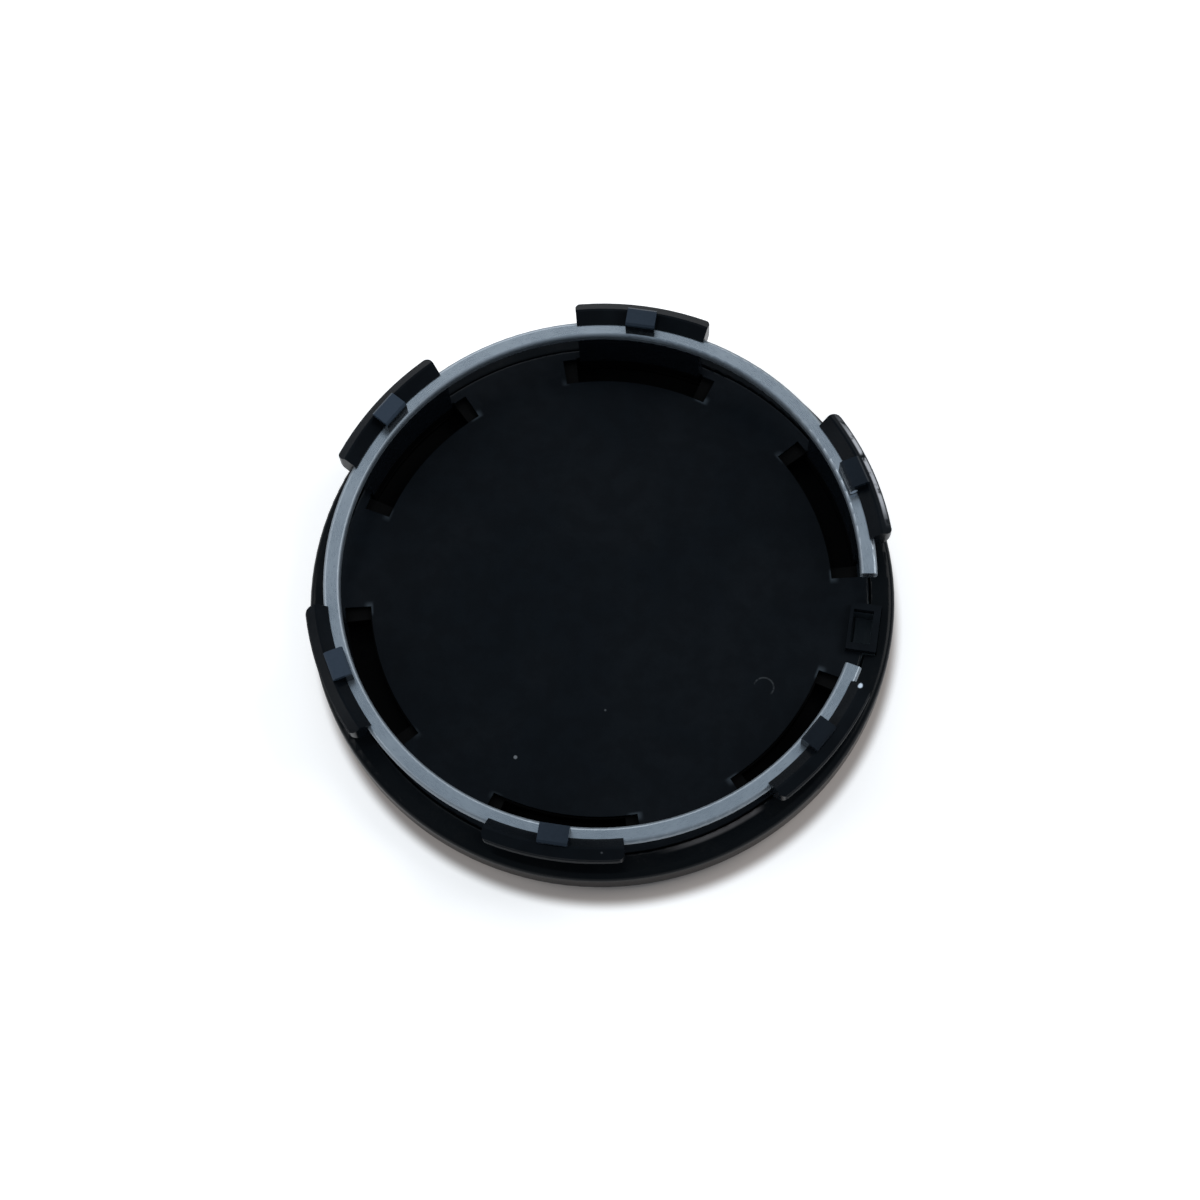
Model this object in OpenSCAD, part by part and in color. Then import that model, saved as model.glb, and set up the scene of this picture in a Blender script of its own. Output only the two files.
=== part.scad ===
// Wheel centre cap, lying on its face with the clip side up.
// Z = 0 is the plane of the front face, and +Z points into the wheel.
// A moulded cover carries a moulded clip carrier, and a split steel ring springs its tongues out.

/* [Front cover] */
// Diameter of the face, which is the largest size of the cap
face_d = 60; // [57:0.5:68]
// Height of the rim, from the face to the ledge that meets the wheel
rim_h = 4.2; // [3.6:0.1:4.6]
// Width of the rim's ledge, from the outside to the mouth that holds the carrier
rim_w = 2.55; // [2.3:0.05:3.2]
// Thickness of the face behind its bare seat
face_t = 1.4; // [1:0.1:1.6]
// Rounding of the front edge
front_edge_r = 1.2; // [0.6:0.1:1.5]
// Rounding of the ledge's outer edge
ledge_edge_r = 0.8; // [0.3:0.1:1]
// Rounding of the ledge's inner edge, at the mouth
mouth_edge_r = 0.25; // [0.1:0.05:0.4]
// Height of the shoulder that the carrier sits on, above the inside of the face
shoulder_h = 0.6; // [0.3:0.1:0.9]
// Width of that shoulder
shoulder_w = 1.3; // [0.9:0.1:2]
// Diameter of the shallow seat in the front
seat_d = 52; // [40:0.5:54]
// Depth of the seat in the front
seat_depth = 0.4; // [0.2:0.1:0.6]

/* [Clip carrier] */
// Clearance between the carrier disc and the mouth of the cover
disc_gap = 0.1; // [0.05:0.01:0.2]
// Thickness of the carrier disc
disc_t = 2; // [1.6:0.1:2.6]
// Rounding of the disc's upper edge
disc_edge_r = 0.25; // [0.2:0.05:0.3]
// How far a tongue's wall is set in from the disc's edge
tongue_set = 0.1; // [0.08:0.01:0.12]
// Number of sprung tongues
tongues = 6; // [4:1:6]
// Angle of the first tongue from +X, in degrees
tongue_phase = 20.9; // [0:0.1:60]
// Arc that a tongue spans, in degrees
tongue_arc = 28; // [20:0.5:34]
// Thickness of a tongue's wall
tongue_t = 1.1; // [1:0.05:1.3]
// Height of the ring's seat on a tongue, above the disc
ring_seat_h = 4.7; // [3.8:0.1:6]
// Radial width of the window at a tongue's foot
window_w = 2.4; // [1.2:0.1:4]
// How far a window runs past its tongue at each end
window_over = 0.4; // [0.3:0.05:0.8]
// How far a window runs in under the tongue's wall, where the wall passes down through it
window_under = 0.3; // [0.2:0.05:0.5]
// Height of the tongue's root above the disc's underside
root_lift = 0.3; // [0.2:0.1:0.8]
// Depth of the shallow relief round a window
relief_d = 0.5; // [0.2:0.1:0.8]
// How far the relief runs on past the window at each end
relief_over = 1.4; // [0.6:0.1:2]
// Width of the relief along the window's inner edge
relief_rim = 0.15; // [0.1:0.05:0.4]

/* [Barb head] */
// How far the barb's nose stands out from the tongue's wall
nose_out = 2.4; // [1.9:0.05:2.6]
// Height of the upright land on the nose
nose_land = 1.1; // [0.5:0.1:1.6]
// Slope of the barb's underside, in degrees from level
barb_slope = 45; // [25:1:50]
// Width of the lead-in slope over the nose
lead_in_w = 1.15; // [0.6:0.05:1.3]
// Drop of the lead-in slope, from the ridge to the nose
lead_in_drop = 0.85; // [0.4:0.05:1]
// Height of the ridge above the top of the ring
ridge_h = 1.3; // [1:0.1:2]
// How far the lip reaches over the ring
lip_cover = 0.45; // [0.2:0.05:0.7]
// Rounding of a head's outer corners, seen from above
head_corner_r = 0.8; // [0.3:0.1:1.2]
// Width of the small bevel that breaks a head's long edges
edge_break = 0.15; // [0.05:0.05:0.25]

/* [Hook] */
// Width of the hook in the middle of each tongue
hook_w = 3; // [2:0.1:4]
// How far the hook reaches over the ring
hook_cover = 1.25; // [0.8:0.05:1.4]
// Length of the hook from its tip to its back
hook_len = 2; // [1.6:0.1:2.4]
// Height of the hook above the top of the ring
hook_h = 2; // [1.5:0.1:2.6]
// Bevel on the hook's upper edges
hook_bevel = 0.2; // [0.05:0.05:0.3]

/* [Locating key] */
// Width of the key that sets the carrier's angle in the cover
key_w = 5; // [4:0.1:6.5]
// How far the key stands out past the carrier disc
key_out = 1.15; // [0.8:0.05:1.3]
// Length of the key from front to back, across the rim
key_len = 3.1; // [2.8:0.1:3.6]
// Height of the key above the disc
key_h = 0.8; // [0.4:0.1:1.5]
// Clearance round the key in the cover's notch
key_gap = 0.1; // [0.05:0.01:0.2]
// Wall of the key round its window
key_wall = 0.7; // [0.5:0.05:1]

/* [Retaining ring] */
// Width of the ring's flat section
ring_w = 1.7; // [1.5:0.05:1.9]
// Thickness of the ring's flat section
ring_t = 1.2; // [0.8:0.1:1.6]
// Rounding of the section's edges
ring_edge_r = 0.35; // [0.1:0.05:0.38]
// How far the ring stands in from the tongues' inner faces
ring_over = 0.05; // [0.05:0.05:0.3]
// Clearance behind the ring in its groove
ring_back_gap = 0.05; // [0.02:0.01:0.15]
// Clearance between the ring and the lip above it
ring_lip_gap = 0.08; // [0.05:0.01:0.2]
// Arc of the gap between the ring's ends, in degrees
ring_gap_arc = 20.8; // [16:0.1:26]
// How far the ring has turned in its seats from where its gap lines up with the key, in degrees
ring_turn = -2; // [-4:0.5:4]

/* [Hidden] */
$fn = 180;
// Overshoot of a cutting tool past the face that it cuts
cut = 0.5;

face_r = face_d / 2;
mouth_r = face_r - rim_w;
face_back_z = seat_depth + face_t;
shoulder_z = face_back_z + shoulder_h;
shoulder_r = mouth_r - shoulder_w;

disc_r = mouth_r - disc_gap;
floor_z = shoulder_z + disc_t;
wall_r = disc_r - tongue_set;
root_z = shoulder_z + root_lift;
tongue_in_r = wall_r - tongue_t;
tongue_pitch = 360 / tongues;

ring_z = floor_z + ring_seat_h;
ring_top_z = ring_z + ring_t;
ring_in_r = tongue_in_r - ring_over;
ring_out_r = ring_in_r + ring_w;
groove_r = ring_out_r + ring_back_gap;
lip_z = ring_top_z + ring_lip_gap;
lip_r = ring_out_r - lip_cover;

nose_r = wall_r + nose_out;
ridge_r = nose_r - lead_in_w;
ridge_z = ring_top_z + ridge_h;
nose_top_z = ridge_z - lead_in_drop;
nose_low_z = nose_top_z - nose_land;
barb_foot_z = nose_low_z - nose_out * tan(barb_slope);

hook_in_r = ring_out_r - hook_cover;
hook_top_z = ring_top_z + hook_h;

// The key lies midway between two tongues
key_angle = tongue_phase - tongue_pitch / 2;
key_out_r = disc_r + key_out;
key_in_r = key_out_r - key_len;
key_top_z = floor_z + key_h;
window_out_r = tongue_in_r + window_under;
window_in_r = tongue_in_r - window_w;
relief_out_r = tongue_in_r + window_under / 2;

// Material to take off a square corner, with its point at the origin and the body at -X, -Y
module corner_waste(r) {
    difference() {
        translate([-r, -r]) square(r + cut);
        translate([-r, -r]) circle(r = r);
    }
}

// Flat sector between two radii, centred on +X
module sector(r_in, r_out, arc) {
    reach = 2 * r_out;
    half = arc / 2;
    intersection() {
        difference() {
            circle(r = r_out);
            circle(r = r_in);
        }
        polygon([[0, 0], [reach * cos(half), -reach * sin(half)],
                 [reach, 0], [reach * cos(half), reach * sin(half)]]);
    }
}

// Places its children at each tongue
module at_tongues() {
    for (i = [0 : tongues - 1])
        rotate([0, 0, tongue_phase + i * tongue_pitch]) children();
}

// Half section of the cover: face, rim, shoulder and the shallow seat in the front
module cover_section() {
    difference() {
        square([face_r, rim_h]);
        translate([-cut, -cut]) square([seat_d / 2 + cut, seat_depth + cut]);
        translate([-cut, face_back_z]) square([shoulder_r + cut, rim_h]);
        translate([-cut, shoulder_z]) square([mouth_r + cut, rim_h]);
        translate([face_r, rim_h]) corner_waste(ledge_edge_r);
        translate([face_r, 0]) mirror([0, 1]) corner_waste(front_edge_r);
        translate([mouth_r, rim_h]) mirror([1, 0]) corner_waste(mouth_edge_r);
    }
}

// Notch in the rim that takes the carrier's key
module key_notch() {
    reach = key_out_r + key_gap;
    translate([shoulder_r, -key_w / 2 - key_gap, shoulder_z])
        cube([reach - shoulder_r, key_w + 2 * key_gap, rim_h]);
}

module front_cover() {
    color("#17181a")
    difference() {
        rotate_extrude() cover_section();
        rotate([0, 0, key_angle]) key_notch();
    }
}

// Half section of the carrier disc, which sits on the cover's shoulder
module disc_section() {
    difference() {
        translate([0, shoulder_z]) square([disc_r, disc_t]);
        translate([disc_r, floor_z]) corner_waste(disc_edge_r);
    }
}

// Point on the way from one corner to the next, where a bevel starts
function on_edge(corner, next) = corner + edge_break * (next - corner) / norm(next - corner);

// Section of a tongue: wall, ring seat, groove, lip, ridge, nose and sloped underside
module tongue_section() {
    lip = [lip_r, lip_z + ring_lip_gap];
    ridge = [ridge_r, ridge_z];
    nose_top = [nose_r, nose_top_z];
    nose_low = [nose_r, nose_low_z];
    foot = [wall_r, barb_foot_z];
    polygon([
        [tongue_in_r, root_z],
        [tongue_in_r, ring_z],
        [groove_r, ring_z],
        [groove_r, lip_z],
        [lip_r, lip_z],
        lip,
        on_edge(ridge, lip),
        on_edge(ridge, nose_top),
        on_edge(nose_top, ridge),
        on_edge(nose_top, nose_low),
        on_edge(nose_low, nose_top),
        on_edge(nose_low, foot),
        foot,
        [wall_r, root_z]
    ]);
}

// Waste at one outer corner of a head, seen from above
module head_corner_waste() {
    rotate([0, 0, tongue_arc / 2])
        translate([nose_r, 0, floor_z + cut])
            linear_extrude(height = ridge_z) corner_waste(head_corner_r);
}

// Hook that holds the ring down in the middle of a tongue
module hook() {
    hook_out_r = hook_in_r + hook_len;
    rotate([90, 0, 0])
        translate([0, 0, -hook_w / 2])
            linear_extrude(height = hook_w)
                polygon([
                    [hook_in_r, lip_z],
                    [hook_in_r, hook_top_z - hook_bevel],
                    [hook_in_r + hook_bevel, hook_top_z],
                    [hook_out_r - hook_bevel, hook_top_z],
                    [hook_out_r, hook_top_z - hook_bevel],
                    [hook_out_r, lip_z]
                ]);
}

// One tongue on +X, with its barb head and hook
module tongue() {
    difference() {
        rotate([0, 0, -tongue_arc / 2]) rotate_extrude(angle = tongue_arc) tongue_section();
        head_corner_waste();
        mirror([0, 1, 0]) head_corner_waste();
    }
    hook();
}

// Window through the disc in front of a tongue, which lets the tongue's foot bend
module foot_window() {
    over = asin(window_over / window_out_r);
    past = over + asin(relief_over / window_out_r);
    translate([0, 0, shoulder_z - cut])
        linear_extrude(height = disc_t + 2 * cut)
            sector(window_in_r, window_out_r, tongue_arc + 2 * over);
    translate([0, 0, floor_z - relief_d])
        linear_extrude(height = relief_d + cut)
            sector(window_in_r - relief_rim, relief_out_r, tongue_arc + 2 * past);
}

// Key on the disc's edge, cored out by a window of its own
module key() {
    translate([key_in_r, -key_w / 2, shoulder_z])
        cube([key_len, key_w, key_top_z - shoulder_z]);
}

module key_window() {
    translate([key_in_r + key_wall / 2, -key_w / 2 + key_wall, shoulder_z - cut])
        cube([key_len - 1.5 * key_wall, key_w - 2 * key_wall, key_top_z]);
}

module clip_carrier() {
    color("#1b1d20")
    difference() {
        union() {
            difference() {
                rotate_extrude() disc_section();
                at_tongues() foot_window();
            }
            at_tongues() tongue();
            rotate([0, 0, key_angle]) key();
        }
        rotate([0, 0, key_angle]) key_window();
    }
}

// Section of the ring: a flat band with rounded edges
module ring_section() {
    difference() {
        translate([ring_in_r, ring_z]) square([ring_w, ring_t]);
        translate([ring_out_r, ring_top_z]) corner_waste(ring_edge_r);
        translate([ring_out_r, ring_z]) mirror([0, 1]) corner_waste(ring_edge_r);
        translate([ring_in_r, ring_top_z]) mirror([1, 0]) corner_waste(ring_edge_r);
        translate([ring_in_r, ring_z]) rotate([0, 0, 180]) corner_waste(ring_edge_r);
    }
}

module retaining_ring() {
    color("#8f9aa5")
    rotate([0, 0, key_angle + ring_turn + ring_gap_arc / 2])
        rotate_extrude(angle = 360 - ring_gap_arc) ring_section();
}

front_cover();
clip_carrier();
retaining_ring();
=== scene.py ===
import math

import bmesh
import bpy
from mathutils import Matrix, Vector

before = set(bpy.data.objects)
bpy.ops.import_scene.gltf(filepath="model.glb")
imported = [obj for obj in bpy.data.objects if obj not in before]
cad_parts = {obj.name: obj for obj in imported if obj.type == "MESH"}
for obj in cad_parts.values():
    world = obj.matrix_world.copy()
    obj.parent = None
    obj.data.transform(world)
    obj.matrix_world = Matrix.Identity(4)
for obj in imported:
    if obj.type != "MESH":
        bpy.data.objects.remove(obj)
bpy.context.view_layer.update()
scene = bpy.context.scene
scene.view_settings.view_transform = "Standard"

# The camera looks down on the back of the cap from 19 degrees off its axis, over the side that is
# nearest to you, from about a quarter of a metre away. The shift centres the cap as the photo does.
cap_centre = Vector((0, 0, 0.0008))
camera_reach = 0.26
camera_lean = math.radians(19.1)
camera_bearing = math.radians(-84.8)
photo_width = 1200
away = Vector((
    math.sin(camera_lean) * math.cos(camera_bearing),
    math.sin(camera_lean) * math.sin(camera_bearing),
    math.cos(camera_lean),
))
across = Vector((0, 1, 0)).cross(away).normalized()
facing = Matrix((across, away.cross(across), away)).transposed().to_4x4()
camera_data = bpy.data.cameras.new("camera")
camera_data.sensor_width = 36
camera_data.lens = 75.18
camera_data.shift_x = -2.3 / photo_width
camera_data.shift_y = 3.9 / photo_width
camera = bpy.data.objects.new("camera", camera_data)
camera.matrix_world = Matrix.Translation(cap_centre + camera_reach * away) @ facing
scene.collection.objects.link(camera)
scene.camera = camera


# The table under the cap: a wide sheet of white card under plain, faintly blue daylight, with three
# soft lamps. The card keeps the cap's shadow, and round the cap it is painted a darker, warmer tone
# with no glow, a painted shadow; its own glow only lifts the open card to white.
class Shade:
    """A value on its way through a material. Sums of such values add the Math nodes."""

    def __init__(self, tree, socket=None):
        self.tree = tree
        self.socket = socket

    def node(self, kind, settings=None, sockets=None, out=0):
        made = self.tree.nodes.new("ShaderNode" + kind)
        for name, value in (settings or {}).items():
            setattr(made, name, value)
        for name, value in (sockets or {}).items():
            if isinstance(value, Shade):
                self.tree.links.new(value.socket, made.inputs[name])
            else:
                made.inputs[name].default_value = value
        return Shade(self.tree, made.outputs[out])

    def maths(self, operation, first, second=0.0):
        return self.node("Math", {"operation": operation}, {0: first, 1: second})

    def seen(self):
        """1 for rays that show a thing to the camera, straight or in a reflection, or else 0."""
        camera_ray, glossy_ray, through_ray = (
            self.node("LightPath", out=kind)
            for kind in ("Is Camera Ray", "Is Glossy Ray", "Is Transmission Ray")
        )
        return camera_ray + glossy_ray + through_ray

    def cover(self, kind="OutputMaterial"):
        """Makes this shader the surface of the finished material."""
        last = self.tree.nodes.new("ShaderNode" + kind)
        self.tree.links.new(self.socket, last.inputs["Surface"])

    def __add__(self, other):
        return self.maths("ADD", self, other)

    __radd__ = __add__

    def __sub__(self, other):
        return self.maths("SUBTRACT", self, other)

    def __rsub__(self, other):
        return self.maths("SUBTRACT", other, self)

    def __mul__(self, other):
        return self.maths("MULTIPLY", self, other)

    __rmul__ = __mul__

    def __abs__(self):
        return self.maths("ABSOLUTE", self)

    def band(self, low, high):
        """0 below low, 1 above high, smooth between; turned round where low is above high."""
        return self.node(
            "MapRange", {"interpolation_type": "SMOOTHSTEP"},
            {"Value": self, "From Min": low, "From Max": high},
        )

    def between(self, start, full, fading, end):
        """1 from full to fading, and 0 before start and after end."""
        return self.band(start, full) * self.band(end, fading)


def new_finish(name):
    """A new material, and the mix that its nodes go into."""
    material = bpy.data.materials.new(name)
    material.use_nodes = True
    material.node_tree.nodes.clear()
    return material, Shade(material.node_tree)


def mix_colour(mix, share, first, second):
    """The first colour, with this share of the second over it."""
    return mix.node("Mix", {"data_type": "RGBA"}, {"Factor": share, 6: first, 7: second}, 2)


def distance(mix, place, spot):
    """How far each point is from one spot."""
    return mix.node("VectorMath", {"operation": "DISTANCE"}, {0: place, 1: spot}, "Value")


card_half_width = 2.5
card_drop = 0.00002  # keeps the card out of the plane of the cap's face
shadow_middle = (0.0004, -0.0016, 0)
painted_shadow_card = (0.6, 0.52, 0.47, 1)
open_card = (0.86, 0.85, 0.84, 1)
card_mesh = bpy.data.meshes.new("card")
sheet = bmesh.new()
bmesh.ops.create_grid(
    sheet, x_segments=1, y_segments=1, size=card_half_width,
    matrix=Matrix.Translation((0, 0, -card_drop)),
)
sheet.to_mesh(card_mesh)
sheet.free()
card = bpy.data.objects.new("card", card_mesh)
scene.collection.objects.link(card)
card_white, mix = new_finish("white card")
on_card = mix.node("TexCoord", out="Object")
millimetres_out = distance(mix, on_card, shadow_middle) * 1000
# Painted shadow: near the cap the card is painted a darker, warm tone and gets no glow.
clear_of_cap = millimetres_out.band(29.3, 30.8)
paper = mix.node("BsdfDiffuse", sockets={
    "Color": mix_colour(mix, clear_of_cap, painted_shadow_card, open_card),
})
glow = mix.node("Emission", sockets={
    "Color": mix_colour(mix, clear_of_cap, (0, 0, 0, 1), (1, 1, 1, 1)),
    "Strength": mix.seen() * 0.5,
})
mix.node("AddShader", sockets={0: paper, 1: glow}).cover()
card_mesh.materials.append(card_white)

daylight = (0.74, 0.87, 1, 1)
world = bpy.data.worlds.new("tent")
world.use_nodes = True
world.node_tree.nodes.clear()
scene.world = world
sky = Shade(world.node_tree)
sky.node("Background", sockets={"Color": daylight, "Strength": 0.42}).cover("OutputWorld")

# Each lamp's bearing and climb in degrees, its width in metres, and its power.
lamp_reach = 1.3
for name, bearing, climb, width, power in (
    ("lamp_back", 104, 34, 1.1, 4.5),
    ("lamp_left", 176, 33, 0.8, 5.5),
    ("lamp_right", 22, 42, 0.7, 6.5),
):
    bearing, climb = math.radians(bearing), math.radians(climb)
    place = lamp_reach * Vector((
        math.cos(bearing) * math.cos(climb),
        math.sin(bearing) * math.cos(climb),
        math.sin(climb),
    ))
    lamp_data = bpy.data.lights.new(name, "AREA")
    lamp_data.size = width
    lamp_data.energy = power
    lamp = bpy.data.objects.new(name, lamp_data)
    towards_cap = place.to_track_quat("Z", "Y").to_matrix().to_4x4()
    lamp.matrix_world = Matrix.Translation(place) @ towards_cap
    scene.collection.objects.link(lamp)


# The front cover: one moulding in black plastic, a round face with a low rim that turns up behind it.
# It lies face down, and only the face is lacquered. The rim's edges are rubbed, its ledge holds dust,
# and one streak on the edge of its mouth is a painted highlight. Inside the rim it is painted black, a
# painted shade, and the key's pocket is painted paler, a painted light.
def cap_places(mix):
    """A point's vector, height and radius in millimetres, and its bearing in degrees from +X."""
    metres = mix.node("TexCoord", out="Object")
    place = mix.node("VectorMath", {"operation": "SCALE"}, {0: metres, "Scale": 1000.0})
    x, y, height = (mix.node("SeparateXYZ", sockets={0: place}, out=axis) for axis in "XYZ")
    radius = mix.maths("SQRT", x * x + y * y)
    bearing = mix.maths("ARCTAN2", y, x) * (180 / math.pi)
    return place, height, radius, bearing


def cloud(mix, place, size, detail=3.0, rough=0.55):
    """Soft noise between 0 and 1 whose patches are about this many millimetres across."""
    return mix.node("TexNoise", sockets={
        "Vector": place, "Scale": 1 / size, "Detail": detail, "Roughness": rough,
    })


def specks(mix, place, spacing, radius, share):
    """Separate round specks: about this far apart, this radius, and only this share of them."""
    from_middle, colour = (
        mix.node("TexVoronoi", {"feature": "F1"}, {"Vector": place, "Scale": 1 / spacing}, out)
        for out in ("Distance", "Color")
    )
    pick = mix.node("SeparateColor", sockets={0: colour}, out="Red")
    dot = from_middle.band(radius / spacing, 0.4 * radius / spacing)
    return dot * pick.band(share + 0.01, share)


def at_key(radius, bearing):
    """1 at the locating key and the pocket in it, or else 0."""
    return abs(bearing - key_bearing).band(7.0, 6.0) * radius.band(24.0, 24.5)


def plastic(mix, colour, roughness, grain_height, grain_size, place, lacquer=0.0):
    """Moulded black plastic with a fine mould grain, and clear lacquer over a share of it."""
    mould_grain = cloud(mix, place, grain_size, 5.0, 0.6)
    bump = mix.node("Bump", sockets={
        "Strength": 1.0, "Distance": grain_height, "Height": mould_grain,
    })
    return mix.node("BsdfPrincipled", sockets={
        "Base Color": colour, "Roughness": roughness, "IOR": 1.15, "Normal": bump,
        "Coat Weight": lacquer, "Coat Roughness": 0.05,
    })


key_bearing = -9.1
clean_cover = (0.0034, 0.0045, 0.0056, 1)
dusty_cover = (0.0078, 0.0082, 0.0088, 1)
cover_speck = (0.08, 0.08, 0.08, 1)
painted_highlight_streak = (0.075, 0.071, 0.072, 1)
painted_shade_black = (0.0004, 0.0005, 0.0006, 1)
painted_light_pocket = (0.06, 0.073, 0.082, 1)
cover_black, mix = new_finish("moulded cover, gloss black")
place, height, radius, bearing = cap_places(mix)
haze = cloud(mix, place, 7.0)
fine = cloud(mix, place, 0.5, 4.0)
dust = (haze * 0.7 + fine * 0.3).band(0.45, 0.72)
rubbed_edge = radius.band(29.4, 29.95) * height.band(1.9, 1.2) * fine.band(0.42, 0.62)
colour = mix_colour(mix, dust * 0.5 + rubbed_edge * 0.4, clean_cover, dusty_cover)
colour = mix_colour(mix, specks(mix, place, 2.6, 0.09, 0.35), colour, cover_speck)
# Painted highlight: a pale streak along the edge of the mouth on the near right side.
highlight_streak = radius.between(27.42, 27.52, 27.85, 28.15) * bearing.between(-80, -68, -57, -54)
colour = mix_colour(mix, highlight_streak * (haze.band(0.3, 0.5) * 0.4 + 0.6), colour, painted_highlight_streak)
# Painted shade: the inside of the rim, behind the carrier, is painted almost black.
inside = radius.band(27.3, 27.1) * height.band(1.0, 1.5)
colour = mix_colour(mix, inside, colour, painted_shade_black)
# Painted light: round the key, the cover's inside is painted paler than its shade would leave it.
pocket = at_key(radius, bearing) * radius.band(28.7, 28.6) * height.between(1.2, 1.6, 3.3, 3.6)
colour = mix_colour(mix, pocket, colour, painted_light_pocket)
roughness = haze * 0.1 + fine * 0.05 + 0.12 + dust * 0.08 + inside * 0.4
lacquer = height.band(0.9, 0.5)
plastic(mix, colour, roughness, 0.000004, 0.12, place, lacquer).cover()
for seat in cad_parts["front_cover"].material_slots:
    seat.material = cover_black


# The clip carrier: a second moulding in tougher black plastic, a disc with sprung tongues that end in
# barbed heads and hooks. It is laid in the cover's mouth and held there. Its flat back is satin.
disc_top = 4.4
clean_carrier = (0.0039, 0.0055, 0.0075, 1)
dusty_carrier = (0.0072, 0.0087, 0.0107, 1)
smudged_carrier = (0.0028, 0.0037, 0.005, 1)
carrier_speck = (0.06, 0.065, 0.07, 1)
carrier_black, mix = new_finish("moulded carrier, satin black")
place, height, radius, bearing = cap_places(mix)
haze = cloud(mix, place, 9.0)
grain = cloud(mix, place, 0.35, 4.0, 0.6)
dust = (haze * 0.9 + grain * 0.1).band(0.38, 0.68)
colour = mix_colour(mix, dust * 0.5, clean_carrier, dusty_carrier)
smudge = cloud(mix, place, 2.2, 2.0, 0.5).band(0.35, 0.65)
colour = mix_colour(mix, smudge * 0.5, colour, smudged_carrier)
colour = mix_colour(mix, specks(mix, place, 5.0, 0.17, 0.2), colour, carrier_speck)

# Two marks lie on the open disc: a pale nick on the near side, and a faint curved scratch on the
# right.
scratched_plastic = (0.14, 0.15, 0.16, 1)
nick = distance(mix, place, (-8.6, -17.4, disc_top)).band(0.24, 0.12)
scratch_bend = 1.0
off_line = abs(distance(mix, place, (16.4, -10.3, disc_top)) - scratch_bend)
scratch = off_line.band(0.12, 0.03) * bearing.band(-33.2, -31.8) * grain.band(0.35, 0.55)
colour = mix_colour(mix, nick + scratch * 0.2, colour, scratched_plastic)

# Two painted glints, small bright spots: on the end of the near right head, and at the foot of the far
# right hook.
painted_glint_plastic = (0.62, 0.7, 0.8, 1)
for glint_at, size in (((25.56, -12.4, 11.5), 0.33), ((25.68, 8.17, 10.8), 0.5)):
    spot = distance(mix, place, glint_at).band(size, size / 2)
    colour = mix_colour(mix, spot, colour, painted_glint_plastic)

# Painted light: the hook tops are painted paler than the rest, most of all on the left where the light
# falls, and the corners of the windows carry painted highlights.
painted_light_hook = (0.034, 0.047, 0.066, 1)
painted_highlight_corner = (0.04, 0.05, 0.06, 1)
tongue_circle = 27
tongue_pitch = 60.0
to_the_left = mix.node(
    "VectorMath", {"operation": "DOT_PRODUCT"}, {0: place, 1: (-0.95, 0.3, 0)}, "Value",
) * (1 / tongue_circle)
hook_top = height.band(11.7, 11.9) * (grain * 0.4 + 0.8)
colour = mix_colour(mix, hook_top * (to_the_left.band(-1.3, 1.2) * 0.95 + 0.1), colour, painted_light_hook)
past_key = mix.maths("FLOORED_MODULO", bearing - key_bearing, tongue_pitch)
from_tongue = abs(past_key - tongue_pitch / 2)
# Painted highlights: short pale marks at the ends of the windows' inner edges.
corner_highlights = from_tongue.between(15.0, 16.6, 18.0, 19.5) * radius.between(23.3, 23.6, 23.8, 24.5)
corner_highlights = corner_highlights * height.band(4.7, 4.5) * haze.band(0.4, 0.6)
colour = mix_colour(mix, corner_highlights * 0.8, colour, painted_highlight_corner)

# The windows are deep, and are painted black as painted shade; the key's pocket is painted paler as
# painted light. One nose on the right carries a painted highlight.
painted_highlight_nose = (0.5, 0.5, 0.52, 1)
key = at_key(radius, bearing)
# Painted shade in the windows, and painted light in the key's pocket.
sunk = height.band(4.3, 4.0) * (1 - key)
colour = mix_colour(mix, sunk, colour, painted_shade_black)
colour = mix_colour(mix, key * height.band(4.35, 4.25), colour, painted_light_pocket)
# Painted highlight: a pale line along the nose of the far right head.
nose = radius.between(28.95, 29.15, 29.35, 29.55) * height.band(9.2, 9.8)
nose_highlight = nose * bearing.between(8, 15, 27, 36) * cloud(mix, place, 0.9).band(0.3, 0.5)
colour = mix_colour(mix, nose_highlight * 0.9, colour, painted_highlight_nose)
scoured = radius.band(29.5, 29.6)
roughness = haze * 0.1 + grain * 0.04 + 0.16 + sunk * 0.4 + scoured * 0.45
plastic(mix, colour, roughness, 0.000005, 0.15, place).cover()
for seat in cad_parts["clip_carrier"].material_slots:
    seat.material = carrier_black


# The retaining ring: flat spring steel, drawn, rolled to a split circle and sheared off square. It is
# sprung into the grooves behind the tongues. Drawing leaves fine lines round it. Its edges are
# rougher, and painted darker as painted shade.
dark_steel = (0.38, 0.425, 0.47, 1)
bright_steel = (0.47, 0.52, 0.565, 1)
painted_shade_edge_steel = (0.16, 0.185, 0.21, 1)
ring_steel, mix = new_finish("drawn spring steel")
place, height, radius, bearing = cap_places(mix)
along = mix.node("CombineXYZ", sockets={"X": radius, "Y": bearing * 0.05, "Z": height})
lines = mix.node("TexNoise", sockets={
    "Vector": along, "Scale": 14.0, "Detail": 4.0, "Roughness": 0.6,
})
stain = cloud(mix, place, 4.0)
colour = mix_colour(mix, (lines * 0.5 + stain * 0.5).band(0.3, 0.7), dark_steel, bright_steel)
# Painted shade: both edges of the ring are painted darker.
edges = radius.band(26.5, 26.2) + radius.band(27.4, 27.7)
colour = mix_colour(mix, edges * 0.8, colour, painted_shade_edge_steel)
bump = mix.node("Bump", sockets={"Strength": 1.0, "Distance": 0.0000015, "Height": lines})
mix.node("BsdfPrincipled", sockets={
    "Base Color": colour, "Metallic": 1.0, "Normal": bump,
    "Roughness": lines * 0.08 + stain * 0.08 + edges * 0.35 + 0.2,
}).cover()
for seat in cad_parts["retaining_ring"].material_slots:
    seat.material = ring_steel
